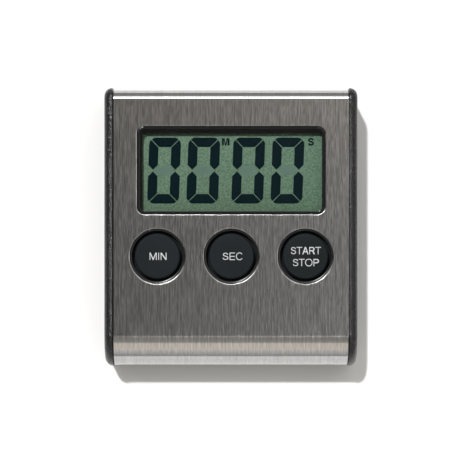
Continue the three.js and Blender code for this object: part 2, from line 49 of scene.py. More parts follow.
# ---- Sizes shared with the CAD source ----
COVER = {
    "half": 29.95, "top": 35.05, "bottom": -35.4, "front": 19.7, "sheet": 0.5,
    "top_r": 2.5, "bottom_r": 8.1, "top_end": 2.6, "bottom_end": 3.2,
}
CHEEK = {
    "inner": 30.1, "outer": 32.25, "round": 1.95, "proud": 0.4, "back_top_r": 2.5, "back_bottom_r": 4.0,
    "lip": 1.0, "lip_end": 6.0, "tab": 2.2, "tab_low": 3.1, "tab_high": 4.1,
}
HALF_LENGTH = 35.6
THICKNESS = 20.0
WINDOW = {"y": 14.6, "w": 47.9, "h": 22.5, "r": 2.0}
BUTTON_Y = -7.27
BUTTONS = {"min": -18.7, "sec": 0.1, "start_stop": 18.9}
HOLE_R = 7.02
CHASSIS = {"half": 28.7, "inset": 0.65, "wall": 1.2, "end": 8.0, "opening": (50.3, 25.0, 1.5), "hole_r": 6.6}
CASE_SCREWS = [(-26.8, 8.0), (26.8, 8.0), (-25.5, -28.8), (25.5, -28.8)]
BOARD_SCREWS = [(-9.4, -2.2), (9.4, -2.2), (-9.4, -18.0), (9.4, -18.0)]
LENS = {"w": 48.4, "h": 23.1, "r": 0.9, "low": 17.8, "high": 18.9}
# The gasket is a real part, but its opening is smaller than the window and moved right and down, so the dark
# foam stands in the rim's shadow along the top and left of the display: painted shade.
GASKET = {
    "outer": (49.4, 24.2, 1.0), "opening": (46.0, 20.1, 0.5), "shade_shift": (0.3, -0.6),
    "low": 15.35, "high": 16.95,
}
LCD = {"half": 24.0, "bottom": 3.3, "top": 26.0, "low": 15.15, "front": 15.3}
CAP_TOP = 19.9
DOME_FOOT = 12.65


# ---- Mesh helpers ----
def soften(points, size, closed=False, steps=4):
    """Rounds the corners of a path in any number of dimensions. size is one number or one per point."""
    count = len(points)
    sizes = size if isinstance(size, (list, tuple)) else [size] * count
    out = []
    for i, point in enumerate(points):
        here = [float(c) for c in point]
        if sizes[i] <= 0 or (not closed and i in (0, count - 1)):
            out.append(here)
            continue
        ends = []
        for other in (points[i - 1], points[(i + 1) % count]):
            gap = [o - h for o, h in zip(other, here)]
            length = math.sqrt(sum(g * g for g in gap))
            share = min(sizes[i] / length, 0.49)
            ends.append([h + g * share for h, g in zip(here, gap)])
        for k in range(steps + 1):
            t = k / steps
            out.append([(1 - t) ** 2 * a + 2 * t * (1 - t) * h + t * t * b
                        for a, h, b in zip(ends[0], here, ends[1])])
    return out


def arc(cx, cy, radius, start, end, steps):
    """Points on an arc, angles in degrees."""
    span = end - start
    return [(cx + radius * math.cos(math.radians(start + span * k / steps)),
             cy + radius * math.sin(math.radians(start + span * k / steps))) for k in range(steps + 1)]


def rounded_rect(cx, cy, width, height, radius, steps=8):
    dx, dy = width / 2 - radius, height / 2 - radius
    corners = ((dx, -dy, -90), (dx, dy, 0), (-dx, dy, 90), (-dx, -dy, 180))
    return [point for x, y, start in corners
            for point in arc(cx + x, cy + y, radius, start, start + 90, steps)]


def circle(cx, cy, radius, sides):
    return arc(cx, cy, radius, 0, 360, sides)[:-1]


def quarter_round(size, steps):
    """(shrink, rise) pairs round a softened edge, from its tip to the full outline."""
    angles = [math.radians(90 * k / steps) for k in range(steps + 1)]
    return [(size * (1 - math.sin(a)), size * (1 - math.cos(a))) for a in angles]


def bridge(bm, low, high):
    """Joins two closed rings of vertices with quads."""
    for i in range(len(low)):
        j = (i + 1) % len(low)
        bm.faces.new((low[i], low[j], high[j], high[i]))


def loft(bm, rings, loop=False):
    """Joins closed rings of points. The ends are capped, or with loop they are joined to each other."""
    made = [[bm.verts.new(p) for p in ring] for ring in rings]
    for low, high in zip(made, made[1:]):
        bridge(bm, low, high)
    if loop:
        bridge(bm, made[-1], made[0])
    else:
        bm.faces.new(list(reversed(made[0])))
        bm.faces.new(made[-1])


def box(bm, x0, x1, y0, y1, z0, z1):
    loft(bm, [[(x0, y0, z), (x1, y0, z), (x1, y1, z), (x0, y1, z)] for z in (z0, z1)])


def turned(bm, profile, cx, cy, sides=96):
    """Turns an open profile of (radius, height) points round the vertical; a point at radius 0 is a pole."""
    rings = []
    for radius, height in profile:
        if radius < 1e-6:
            rings.append([bm.verts.new((cx, cy, height))])
        else:
            rings.append([bm.verts.new((x, y, height)) for x, y in circle(cx, cy, radius, sides)])
    for low, high in zip(rings, rings[1:]):
        for i in range(sides):
            j = (i + 1) % sides
            if len(low) == 1:
                bm.faces.new((low[0], high[j], high[i]))
            elif len(high) == 1:
                bm.faces.new((low[i], low[j], high[0]))
            else:
                bm.faces.new((low[i], low[j], high[j], high[i]))


def ring_turned(bm, profile, cx, cy, sides=96):
    """Turns a closed profile of (radius, height) points round the vertical."""
    rings = [[(x, y, height) for x, y in circle(cx, cy, radius, sides)] for radius, height in profile]
    loft(bm, rings, loop=True)


def slab(bm, outline, low, high, edge, steps=3):
    """A flat plate with softened edges. outline(inset) gives its points."""
    rounding = quarter_round(edge, steps)
    rings = [(shrink, low + rise) for shrink, rise in rounding]
    rings += [(shrink, high - rise) for shrink, rise in reversed(rounding)]
    loft(bm, [[(x, y, z) for x, y in outline(inset)] for inset, z in rings])


def ring_edges(bm, ring):
    return [bm.edges.get(pair) for pair in zip(ring, ring[1:] + ring[:1])]


def finish_mesh(name, bm, material, sharp=35.0, weighted=True):
    bmesh.ops.recalc_face_normals(bm, faces=bm.faces[:])
    mesh = bpy.data.meshes.new(name)
    bm.to_mesh(mesh)
    bm.free()
    mesh.transform(Matrix.Scale(MM, 4))
    mesh.materials.append(material)
    mesh.shade_smooth()
    mesh.set_sharp_from_angle(angle=math.radians(sharp))
    obj = bpy.data.objects.new(name, mesh)
    bpy.context.collection.objects.link(obj)
    if weighted:
        smooth = obj.modifiers.new("face weighted normals", "WEIGHTED_NORMAL")
        smooth.mode = "FACE_AREA"
        smooth.weight = 100
        smooth.keep_sharp = True
    return obj


def piece(name, bm, look, replaced=(), body="case", slot=None, **finish):
    """A mesh as a piece that rides a body, in place of the CAD nodes given. The slot argument is not used."""
    obj = finish_mesh(name, bm, MAT[look], **finish)
    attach(obj, body)
    if replaced:
        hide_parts(*replaced)
    return obj


# ---- Node helpers ----
class Nodes:
    """Builds the node tree of one material or world."""

    def __init__(self, owner, output="ShaderNodeOutputMaterial"):
        self.owner = owner
        owner.use_nodes = True
        self.tree = owner.node_tree
        self.tree.nodes.clear()
        self.out = self.add(output)

    def add(self, kind, **settings):
        node = self.tree.nodes.new(kind)
        for key, value in settings.items():
            setattr(node, key, value)
        return node

    def link(self, source, target):
        self.tree.links.new(source, target)

    def feed(self, socket, value):
        """Gives a socket a number or a colour, or links it to another node's output."""
        if isinstance(value, (int, float)):
            socket.default_value = value
        elif isinstance(value, tuple):
            socket.default_value = (*value, 1.0)
        else:
            self.link(value, socket)

    def split(self, vector):
        node = self.add("ShaderNodeSeparateXYZ")
        self.link(vector, node.inputs["Vector"])
        return [node.outputs[axis] for axis in "XYZ"]

    def coords(self, stretch=(1, 1, 1), kind="Object"):
        source = self.add("ShaderNodeTexCoord").outputs[kind]
        mapping = self.add("ShaderNodeMapping")
        mapping.inputs["Scale"].default_value = stretch
        self.link(source, mapping.inputs["Vector"])
        return mapping.outputs["Vector"]

    def noise(self, vector, scale, detail=2.0, rough=0.5):
        node = self.add("ShaderNodeTexNoise")
        node.inputs["Scale"].default_value = scale
        node.inputs["Detail"].default_value = detail
        node.inputs["Roughness"].default_value = rough
        self.link(vector, node.inputs["Vector"])
        return node.outputs["Fac"]

    def span(self, value, low, high, new_low, new_high, ease="LINEAR"):
        node = self.add("ShaderNodeMapRange", interpolation_type=ease)
        for key, number in zip(("From Min", "From Max", "To Min", "To Max"), (low, high, new_low, new_high)):
            node.inputs[key].default_value = number
        self.link(value, node.inputs["Value"])
        return node.outputs["Result"]

    def math(self, kind, a, b=0.0):
        node = self.add("ShaderNodeMath", operation=kind)
        self.feed(node.inputs[0], a)
        self.feed(node.inputs[1], b)
        return node.outputs["Value"]

    def ramp(self, value, stops):
        node = self.add("ShaderNodeValToRGB")
        elements = node.color_ramp.elements
        while len(elements) < len(stops):
            elements.new(1.0)
        for element, (at, color) in zip(elements, stops):
            element.position = at
            element.color = (*color, 1.0)
        self.link(value, node.inputs["Fac"])
        return node.outputs["Color"]

    def blend(self, factor, a, b, kind="MIX"):
        node = self.add("ShaderNodeMix", data_type="RGBA", blend_type=kind)
        for index, value in ((0, factor), (6, a), (7, b)):
            self.feed(node.inputs[index], value)
        return node.outputs[2]

    def bump(self, height, strength, distance):
        node = self.add("ShaderNodeBump")
        node.inputs["Strength"].default_value = strength
        node.inputs["Distance"].default_value = distance
        self.link(height, node.inputs["Height"])
        return node.outputs["Normal"]

    def shader(self, color, roughness, normal=None, **settings):
        node = self.add("ShaderNodeBsdfPrincipled")
        self.feed(node.inputs["Base Color"], color)
        self.feed(node.inputs["Roughness"], roughness)
        if normal is not None:
            self.link(normal, node.inputs["Normal"])
        for key, value in settings.items():
            node.inputs[key.replace("_", " ")].default_value = value
        self.link(node.outputs["BSDF"], self.out.inputs["Surface"])
        return node


def shade(color, factor):
    return tuple(c * factor for c in color)


def frequency(period):
    """The noise scale, per metre, of a grain with this period in mm."""
    return 1 / (period * MM)


# ---- Materials ----
def grained(name, color, roughness, grain, depth, contrast, rough_swing):
    """Moulded plastic, rubber, foam or plain metal: cloudy colour, fine grain in roughness and relief."""
    n = Nodes(bpy.data.materials.new(name))
    place = n.coords()
    cloud = n.noise(place, 120.0, 3.0)
    fine = n.noise(place, frequency(grain), 2.0, 0.6)
    both = n.math("ADD", n.math("MULTIPLY", cloud, 0.5), n.math("MULTIPLY", fine, 0.5))
    tone = n.ramp(n.span(both, 0.35, 0.65, 0.0, 1.0),
                  [(0.0, shade(color, 1 - contrast)), (1.0, shade(color, 1 + contrast))])
    rough = n.span(fine, 0.3, 0.7, roughness - rough_swing, roughness + rough_swing)
    n.shader(tone, rough, n.bump(fine, 1.0, depth * MM), Metallic=float(name in METALS),
             Specular_IOR_Level=GLOSS.get(name, PLAIN_GLOSS))
    return n.owner


# Width and length in mm of the layers of brush marks on the steel.
BRUSHING = {"streak": (0.36, 8.0), "short": (0.31, 2.2), "broad": (1.6, 24.0), "scratch": (0.3, 5.0)}
BRUSH_SHARE = {"streak": 0.5, "broad": 0.05, "short": 0.45}
SHEET_MIDDLE = 2.6
BENDS = {"start": 29.0, "full": 31.5, "contrast": 0.4}
# The lower bend's colour is darkened from here on: painted shade that dims the floor it reflects.
LOW_BEND = {"start": -33.2, "full": -34.6, "painted_shade": (0.86, 0.86, 0.875)}


def brushed_steel():
    """Stainless sheet brushed along its length: streaks follow the sheet round both bends.

    They are weaker on the bends, and the colour is darker from the middle of the lower bend on: painted
    shade.
    """
    n = Nodes(bpy.data.materials.new("brushed_cover"))

    def brush(layer, detail=0.0):
        width, length = BRUSHING[layer]
        return n.noise(n.coords((frequency(width), frequency(length), 1), "UV"), 1.0, detail)

    streak, short = brush("streak"), brush("short")
    broad, scratch = brush("broad", 1.0), brush("scratch", 1.0)
    long_part = n.math("ADD", n.math("MULTIPLY", streak, BRUSH_SHARE["streak"]),
                       n.math("MULTIPLY", broad, BRUSH_SHARE["broad"]))
    both = n.math("ADD", long_part, n.math("MULTIPLY", short, BRUSH_SHARE["short"]))
    along = n.split(n.coords(kind="UV"))[1]
    from_middle = n.math("ABSOLUTE", n.math("SUBTRACT", along, SHEET_MIDDLE * MM))
    calm = n.span(from_middle, BENDS["start"] * MM, BENDS["full"] * MM, 1.0, BENDS["contrast"], "SMOOTHSTEP")
    swing = n.math("MULTIPLY", n.math("SUBTRACT", both, 0.5), calm)
    tone = n.ramp(n.span(swing, -0.15, 0.15, 0.0, 1.0),
                  [(0.0, (0.402, 0.397, 0.387)), (1.0, (0.638, 0.628, 0.613))])
    # Painted shade from the middle of the lower bend on, to dim the floor reflected there.
    shaded_bend = n.span(along, LOW_BEND["full"] * MM, LOW_BEND["start"] * MM, 1.0, 0.0, "SMOOTHSTEP")
    tone = n.blend(shaded_bend, tone, n.blend(1.0, tone, LOW_BEND["painted_shade"], "MULTIPLY"))
    rough = n.span(scratch, 0.32, 0.68, 0.19, 0.21)
    node = n.shader(tone, rough, n.bump(streak, 0.1, 0.0004 * MM), Metallic=1.0, Anisotropic=1.0)
    tangent = n.add("ShaderNodeTangent", direction_type="UV_MAP", uv_map="UVMap")
    n.link(tangent.outputs["Tangent"], node.inputs["Tangent"])
    return n.owner


def sparked_plastic():
    """Black moulding with a spark-eroded texture that glints where light grazes it."""
    n = Nodes(bpy.data.materials.new("textured_black"))
    place = n.coords()
    pits = n.noise(place, frequency(0.55), 2.0, 0.65)
    fine = n.noise(place, frequency(0.3), 1.0)
    cloud = n.noise(place, 90.0, 2.0)
    relief = n.math("ADD", n.math("MULTIPLY", pits, 0.7), n.math("MULTIPLY", fine, 0.3))
    mottle = n.math("ADD", n.math("MULTIPLY", cloud, 0.4), n.math("MULTIPLY", relief, 0.6))
    tone = n.ramp(n.span(mottle, 0.35, 0.65, 0.0, 1.0),
                  [(0.0, (0.005, 0.005, 0.0058)), (1.0, (0.0125, 0.0122, 0.0135))])
    rough = n.span(relief, 0.35, 0.65, 0.2, 0.28)
    n.shader(tone, rough, n.bump(relief, 1.0, 0.28 * MM), Specular_IOR_Level=0.45)
    return n.owner


def clear_lens():
    """A thin clear window: mostly see-through, with a Fresnel gloss on its outside."""
    n = Nodes(bpy.data.materials.new("clear_lens"))
    haze = n.noise(n.coords(), 300.0, 2.0)
    clear = n.add("ShaderNodeBsdfTransparent")
    tone = n.ramp(n.span(haze, 0.3, 0.7, 0.0, 1.0),
                  [(0.0, (0.965, 0.97, 0.968)), (1.0, (0.985, 0.99, 0.988))])
    n.link(tone, clear.inputs["Color"])
    gloss = n.add("ShaderNodeBsdfGlossy")
    gloss.inputs["Color"].default_value = (1, 1, 1, 1)
    n.link(n.span(haze, 0.3, 0.7, 0.03, 0.06), gloss.inputs["Roughness"])
    fresnel = n.add("ShaderNodeFresnel")
    fresnel.inputs["IOR"].default_value = 1.49
    mix = n.add("ShaderNodeMixShader")
    outside = n.math("SUBTRACT", 1.0, n.add("ShaderNodeNewGeometry").outputs["Backfacing"])
    n.link(n.math("MULTIPLY", fresnel.outputs["Fac"], outside), mix.inputs[0])
    n.link(clear.outputs["BSDF"], mix.inputs[1])
    n.link(gloss.outputs["BSDF"], mix.inputs[2])
    n.link(mix.outputs["Shader"], n.out.inputs["Surface"])
    return n.owner


def lcd_film():
    """The reflective green of the display, with painted shade along the bottom and left and painted light
    towards the right.
    """
    n = Nodes(bpy.data.materials.new("lcd_film"))
    place = n.coords()
    across, along, _ = n.split(place)
    # Painted shade: darker towards the bottom edge.
    up = n.ramp(n.span(along, LCD["bottom"] * MM, LCD["top"] * MM, 0.0, 1.0),
                [(0.0, (0.066, 0.109, 0.071)), (0.1, (0.071, 0.117, 0.077)), (0.3, (0.079, 0.130, 0.089)),
                 (1.0, (0.081, 0.132, 0.092))])
    # Painted shade towards the left and painted light, a little bluer, towards the right.
    side = n.ramp(n.span(across, -LCD["half"] * MM, LCD["half"] * MM, 0.0, 1.0),
                  [(0.0, (0.97, 0.97, 0.96)), (0.6, (1.0, 1.0, 1.0)), (1.0, (1.03, 1.08, 1.09))])
    grain = n.noise(place, frequency(0.48), 1.0)
    speck = n.ramp(n.span(grain, 0.3, 0.7, 0.0, 1.0), [(0.0, (0.68, 0.73, 0.68)), (1.0, (1.3, 1.25, 1.3))])
    tone = n.blend(1.0, n.blend(1.0, up, side, "MULTIPLY"), speck, "MULTIPLY")
    n.shader(tone, n.span(grain, 0.3, 0.7, 0.35, 0.41), n.bump(grain, 0.6, 0.003 * MM), Metallic=0.85)
    return n.owner


# Colour, roughness, grain and relief in mm, and the swing of the colour and of the roughness.
FINISHES = {
    "frame_black": ((0.0075, 0.0078, 0.0085), 0.2, 0.3, 0.001, 0.25, 0.04),
    "gloss_black": ((0.006, 0.0063, 0.007), 0.16, 0.4, 0.0008, 0.2, 0.03),
    "button_charcoal": ((0.0068, 0.0092, 0.0108), 0.55, 0.18, 0.005, 0.22, 0.08),
    "lcd_glass": ((0.55, 0.62, 0.55), 0.08, 0.6, 0.0005, 0.05, 0.02),
    "foam": ((0.008, 0.008, 0.008), 0.9, 0.2, 0.03, 0.4, 0.05),
    "grey_rubber": ((0.16, 0.17, 0.18), 0.7, 0.3, 0.008, 0.25, 0.08),
    "carbon": ((0.006, 0.006, 0.006), 0.75, 0.15, 0.01, 0.25, 0.08),
    "board": ((0.012, 0.10, 0.035), 0.4, 0.5, 0.004, 0.3, 0.08),
    "epoxy": ((0.004, 0.004, 0.004), 0.25, 0.8, 0.01, 0.25, 0.08),
    "nickel": ((0.6, 0.61, 0.63), 0.26, 0.25, 0.002, 0.12, 0.06),
    "brass": ((0.6, 0.38, 0.1), 0.32, 0.25, 0.002, 0.15, 0.06),
    "ceramic": ((0.75, 0.7, 0.6), 0.5, 0.2, 0.003, 0.1, 0.08),
    "cell_sleeve": ((0.025, 0.08, 0.2), 0.3, 0.6, 0.002, 0.15, 0.08),
    "lead_red": ((0.36, 0.014, 0.012), 0.42, 0.3, 0.003, 0.15, 0.08),
    "lead_black": ((0.007, 0.007, 0.007), 0.42, 0.3, 0.003, 0.3, 0.08),
    "legend_white": ((0.50, 0.515, 0.53), 0.55, 0.12, 0.002, 0.05, 0.08),
    "lcd_ink": ((0.0012, 0.0085, 0.0112), 0.5, 0.2, 0.002, 0.12, 0.08),
    "lcd_ghost": ((0.094, 0.152, 0.122), 0.55, 0.2, 0.002, 0.05, 0.08),
}
PLAIN_GLOSS = 0.5
GLOSS = {"frame_black": 0.4, "button_charcoal": 0.09, "legend_white": 0.2, "lcd_ink": 0.0, "lcd_ghost": 0.0}
METALS = ("nickel", "brass")
MAT = {
    "brushed_cover": brushed_steel(),
    "textured_black": sparked_plastic(),
    "clear_lens": clear_lens(),
    "lcd_film": lcd_film(),
}
for look_name, numbers in FINISHES.items():
    MAT[look_name] = grained(look_name, *numbers)


# ---- Side outlines, as (y, z) ----
BEND_STEPS = (14, 30)
LEAST_BEND = 0.15


def cover_line(inset, top_end, bottom_end):
    """The wrapped line from the wall end at the top, over the front, to the wall end at the bottom."""
    top, bottom, front = COVER["top"], COVER["bottom"], COVER["front"]
    top_r, bottom_r = COVER["top_r"], COVER["bottom_r"]
    points = [(top - inset, top_end)]
    points += arc(top - top_r, front - top_r, max(top_r - inset, LEAST_BEND), 0, 90, BEND_STEPS[0])
    points += arc(bottom + bottom_r, front - bottom_r, bottom_r - inset, 90, 180, BEND_STEPS[1])
    points.append((bottom + inset, bottom_end))
    return points


def cheek_line(inset):
    """A cheek's outline, which stands a little proud of the cover."""
    front_top, front_bottom = COVER["top_r"] + CHEEK["proud"], COVER["bottom_r"] + CHEEK["proud"]
    back_top, back_bottom = CHEEK["back_top_r"], CHEEK["back_bottom_r"]
    length, high = HALF_LENGTH, THICKNESS
    return (arc(length - front_top, high - front_top, front_top - inset, 0, 90, 16)
            + arc(-length + front_bottom, high - front_bottom, front_bottom - inset, 90, 180, 36)
            + arc(-length + back_bottom, back_bottom, back_bottom - inset, 180, 270, 12)
            + arc(length - back_top, back_top, back_top - inset, 270, 360, 12))


RIM_MARGIN = 0.1


def bent_sheet(bm, inset, wall, ends, half, edge, holes):
    """A sheet bent over top and bottom, with holes through its flat front.

    holes is a list of (outline(grow), roll) pairs. roll is the size of the hole's rounded rim, which has a
    narrow flat ring round it, and each outline gives the same number of points for any grow.
    """
    top_end, bottom_end = ends

    def section(shrink):
        outer = cover_line(inset + shrink, top_end + shrink, bottom_end + shrink)
        inner = cover_line(inset + wall - shrink, top_end + shrink, bottom_end + shrink)
        return outer + inner[::-1]

    first = [(-half + rise, shrink) for shrink, rise in quarter_round(edge, 3)]
    last = [(-x, shrink) for x, shrink in reversed(first)]
    made = [[bm.verts.new((x, y, z)) for y, z in section(shrink)] for x, shrink in first + last]
    count = len(made[0])
    # The flat of the front lies between the two bends, on the sheet's outside and again on its inside.
    flat_outer = 1 + BEND_STEPS[0]
    flat_inner = count - 2 - flat_outer
    middle = len(first) - 1
    for index, (low, high) in enumerate(zip(made, made[1:])):
        for i in range(count):
            j = (i + 1) % count
            if index == middle and i in (flat_outer, flat_inner):
                continue
            bm.faces.new((low[i], low[j], high[j], high[i]))
    bm.faces.new(made[0])
    bm.faces.new(made[-1])
    left, right = made[middle], made[middle + 1]

    outer_edges, inner_edges = [ring_edges(bm, [left[at], left[at + 1], right[at + 1], right[at]])
                                for at in (flat_outer, flat_inner)]
    front_z = COVER["front"] - inset
    for outline, roll in holes:
        rim = quarter_round(roll, 5) if roll > 0 else [(0.0, 0.0)]
        profile = [(roll + RIM_MARGIN, 0.0)] + rim + [(0.0, wall)]
        rings = [[bm.verts.new((x, y, front_z - sunk)) for x, y in outline(grow)] for grow, sunk in profile]
        for low, high in zip(rings, rings[1:]):
            bridge(bm, low, high)
        outer_edges += ring_edges(bm, rings[0])
        inner_edges += ring_edges(bm, rings[-1])
    for edges in (outer_edges, inner_edges):
        bmesh.ops.triangle_fill(bm, use_beauty=True, use_dissolve=False, edges=edges)


def sheet_length(y, z):
    """How far along the sheet a point lies, in mm: its y on the flat, and the length of the bend past it."""
    top_y, top_z = COVER["top"] - COVER["top_r"], COVER["front"] - COVER["top_r"]
    low_y, low_z = COVER["bottom"] + COVER["bottom_r"], COVER["front"] - COVER["bottom_r"]
    if low_y <= y <= top_y:
        return y
    if y > top_y:
        if z < top_z:
            return top_y + COVER["top_r"] * math.pi / 2 + top_z - z
        return top_y + COVER["top_r"] * math.atan2(y - top_y, max(z - top_z, 1e-6))
    if z < low_z:
        return low_y - COVER["bottom_r"] * math.pi / 2 - (low_z - z)
    return low_y - COVER["bottom_r"] * math.atan2(low_y - y, max(z - low_z, 1e-6))


def lay_sheet_uv(bm):
    """UVs in metres, across the sheet and along it round both bends."""
    layer = bm.loops.layers.uv.new("UVMap")
    for face in bm.faces:
        for loop in face.loops:
            x, y, z = loop.vert.co
            loop[layer].uv = (x * MM, sheet_length(y, z) * MM)


# ---- Shell ----
def window_outline(width, height, radius):
    return lambda grow: rounded_rect(0, WINDOW["y"], width + 2 * grow, height + 2 * grow, radius + grow, 10)


def hole_outline(x, radius, sides):
    return lambda grow: circle(x, BUTTON_Y, radius + grow, sides)


def build_cover():
    """The wrapped steel sheet with rolled edges round the window and the three holes."""
    window_roll, hole_roll, end_edge = 0.16, 0.18, 0.2
    ends = (COVER["top_end"], COVER["bottom_end"])
    bm = bmesh.new()
    holes = [(window_outline(WINDOW["w"], WINDOW["h"], WINDOW["r"]), window_roll)]
    holes += [(hole_outline(x, HOLE_R, 128), hole_roll) for x in BUTTONS.values()]
    bent_sheet(bm, 0.0, COVER["sheet"], ends, COVER["half"], end_edge, holes)
    lay_sheet_uv(bm)
    piece("cover_sheet", bm, "brushed_cover", ["front_cover"], sharp=50)


def build_cheeks():
    """End caps with a rounded outer edge, a lip inside the cover and a tab for each case screw."""
    inner, outer, edge, tab = CHEEK["inner"], CHEEK["outer"], 0.12, CHEEK["tab"]
    stations = [(inner, edge), (inner + edge * 0.3, edge * 0.3), (inner + edge, 0.0)]
    stations += [(outer - rise, shrink) for shrink, rise in reversed(quarter_round(CHEEK["round"], 10))]
    lip_out = cover_line(CHASSIS["inset"], CHEEK["lip_end"], CHEEK["lip_end"])
    lip_in = cover_line(CHASSIS["inset"] + CHEEK["lip"], CHEEK["lip_end"], CHEEK["lip_end"])
    lip = lip_out + lip_in[::-1]
    for side, name in ((-1, "left"), (1, "right")):
        bm = bmesh.new()
        loft(bm, [[(side * x, y, z) for y, z in cheek_line(inset)] for x, inset in stations])
        loft(bm, [[(side * x, y, z) for y, z in lip] for x in (CHASSIS["half"] + 0.2, inner + 0.3)])
        for x, y in CASE_SCREWS:
            if x * side > 0:
                x0, x1 = sorted((x - side * tab, side * (inner + 0.2)))
                box(bm, x0, x1, y - tab, y + tab, CHEEK["tab_low"], CHEEK["tab_high"])
        piece(name + "_end_cheek", bm, "textured_black", [name + "_cheek"])


# Profiles of (radius, height), the posts with a blind hole for their screw.
CASE_POST = [(0, 13), (1.2, 13), (1.2, 4.2), (1.7, 4.2), (1.7, 18), (0, 18)]
BOARD_POST = [(0, 16.3), (1.05, 16.3), (1.05, 12.7), (1.8, 12.7), (1.8, 18), (0, 18)]
COLLAR = soften([(6.4, 17.6), (6.95, 17.6), (6.95, 19.68), (6.52, 19.62), (6.4, 19.4)],
                [0, 0, 0.1, 0.08, 0.05], True, 3)


def build_chassis():
    """The black frame under the cover, with its screw posts and the collars round the buttons."""
    bm = bmesh.new()
    holes = [(window_outline(*CHASSIS["opening"]), 0.0)]
    holes += [(hole_outline(x, CHASSIS["hole_r"], 64), 0.0) for x in BUTTONS.values()]
    bent_sheet(bm, CHASSIS["inset"], CHASSIS["wall"], (CHASSIS["end"], CHASSIS["end"]), CHASSIS["half"], 0.1,
               holes)
    for post, places in ((CASE_POST, CASE_SCREWS), (BOARD_POST, BOARD_SCREWS)):
        for x, y in places:
            turned(bm, post, x, y, 24)
    for x in BUTTONS.values():
        ring_turned(bm, COLLAR, x, BUTTON_Y)
    piece("front_chassis", bm, "frame_black", ["front_frame"])


def build_rim():
    """The window's glossy rim: a flange under the sheet, a wall through the window, a seat for the lens."""
    flange, wall, opening, ledge = (50.0, 24.7, 1.4), (47.6, 22.2, 1.85), (46.3, 20.9, 1.3), (48.6, 23.3, 1.0)
    low, under_sheet, front, lens_seat = 17.0, 19.05, 19.5, 18.95
    corners = [(*flange, low), (*flange, under_sheet), (*wall, under_sheet), (*wall, front),
               (*opening, front), (*opening, lens_seat), (*ledge, lens_seat), (*ledge, low)]
    path = soften(corners, [0, 0.1, 0, 0.15, 0.3, 0.04, 0, 0], True, 5)
    bm = bmesh.new()
    loft(bm, [[(x, y, z) for x, y in rounded_rect(0, WINDOW["y"], w, h, r, 10)] for w, h, r, z in path],
         loop=True)
    piece("display_rim", bm, "gloss_black", ["display_bezel"])


def build_lens():
    bm = bmesh.new()
    slab(bm, lambda s: rounded_rect(0, WINDOW["y"], LENS["w"] - 2 * s, LENS["h"] - 2 * s, LENS["r"] - s),
         LENS["low"], LENS["high"], 0.1)
    piece("display_window", bm, "clear_lens", ["display_lens"])


def build_gasket():
    """The foam frame between lens and display. Its opening sits a little off centre so the dark foam covers
    the top and left of the display in the rim's shadow: painted shade.
    """
    outer, opening = (0, 0, *GASKET["outer"]), (*GASKET["shade_shift"], *GASKET["opening"])
    low, high = GASKET["low"], GASKET["high"]
    path = soften([(*outer, low), (*outer, high), (*opening, high), (*opening, low)], 0.12, True, 3)
    bm = bmesh.new()
    loft(bm, [[(x, y, z) for x, y in rounded_rect(dx, WINDOW["y"] + dy, w, h, r)]
              for dx, dy, w, h, r, z in path], loop=True)
    piece("foam_gasket", bm, "foam", ["display_gasket"])


# ---- Display ----
DIGIT = {"w": 8.15, "h": 16.9, "t": 2.44, "gap": 0.2, "corner": 1.75, "tip": 0.22, "lean": 0.035}
DIGIT_LEFT = [-21.49, -11.46, 0.065, 10.11]
DIGIT_LOW = 6.15
PRINT_GAP = 0.005
PRINT_DEPTH = 0.02
GHOST_DEPTH = 0.007
LCD_LETTERS = [("M", (-1.35, 21.96), (1.93, 1.85), 0.24), ("S", (20.5, 21.96), (1.55, 1.85), 0.25)]


def digit_shapes():
    """The seven segments of one digit as outlines: six lit ones for a zero, then the unlit middle bar."""
    w, h, t, r = DIGIT["w"], DIGIT["h"], DIGIT["t"], DIGIT["corner"]
    g = DIGIT["gap"] / math.sqrt(2)
    mid = h / 2
    half = t / 2
    top_arc = arc(r, h - r, r, 135, 90, 4)
    top_arc = [(x + g * (1 - k / 4), y) for k, (x, y) in enumerate(top_arc)]
    top = top_arc + [(w - x, y) for x, y in reversed(top_arc)]
    top += [(w - t - g, h - t), (t + g, h - t)]
    side_arc = arc(r, h - r, r, 180, 135, 4)
    side_arc = [(x, y - g * k / 4) for k, (x, y) in enumerate(side_arc)]
    tip = DIGIT["tip"]
    left = [(0, mid + tip + half)] + side_arc + [(t, h - t - g), (t, mid + tip + half), (half, mid + tip)]
    lit = [top, [(x, h - y) for x, y in reversed(top)], left, [(w - x, y) for x, y in reversed(left)],
           [(x, h - y) for x, y in reversed(left)], [(w - x, h - y) for x, y in left]]
    reach = half + 0.35
    bar = [(reach, mid), (reach + half, mid + half), (w - reach - half, mid + half), (w - reach, mid),
           (w - reach - half, mid - half), (reach + half, mid - half)]
    return lit, bar


def flat_plate(bm, outline, low, high):
    loft(bm, [[(x, y, z) for x, y in outline] for z in (low, high)])


def place_digit(outline, left):
    return [(left + x + y * DIGIT["lean"], DIGIT_LOW + y) for x, y in outline]


def build_display():
    """The display's film with its printed digits, the faint unlit bars and the two small letters."""
    half, bottom, top, front = LCD["half"], LCD["bottom"], LCD["top"], LCD["front"]
    bm = bmesh.new()
    slab(bm, lambda s: [(-half + s, bottom + s), (half - s, bottom + s), (half - s, top - s),
                        (-half + s, top - s)], LCD["low"], front, 0.03, 2)
    piece("lcd_sheet", bm, "lcd_film", ["lcd_polariser"])

    lit, bar = digit_shapes()
    low = front + PRINT_GAP
    ink, ghost = bmesh.new(), bmesh.new()
    for left in DIGIT_LEFT:
        for outline in lit:
            flat_plate(ink, place_digit(outline, left), low, low + PRINT_DEPTH)
        flat_plate(ghost, place_digit(bar, left), low, low + GHOST_DEPTH)
    for name, mesh, look in (("lcd_digits", ink, "lcd_ink"), ("lcd_unlit_bars", ghost, "lcd_ghost")):
        piece(name, mesh, look, slot="lcd_film", weighted=False)
    for letter, centre, size, stroke in LCD_LETTERS:
        lettering("lcd_letter_" + letter.lower(), letter, centre, size, low, "lcd_ink", "lcd_film", "case",
                  stroke)


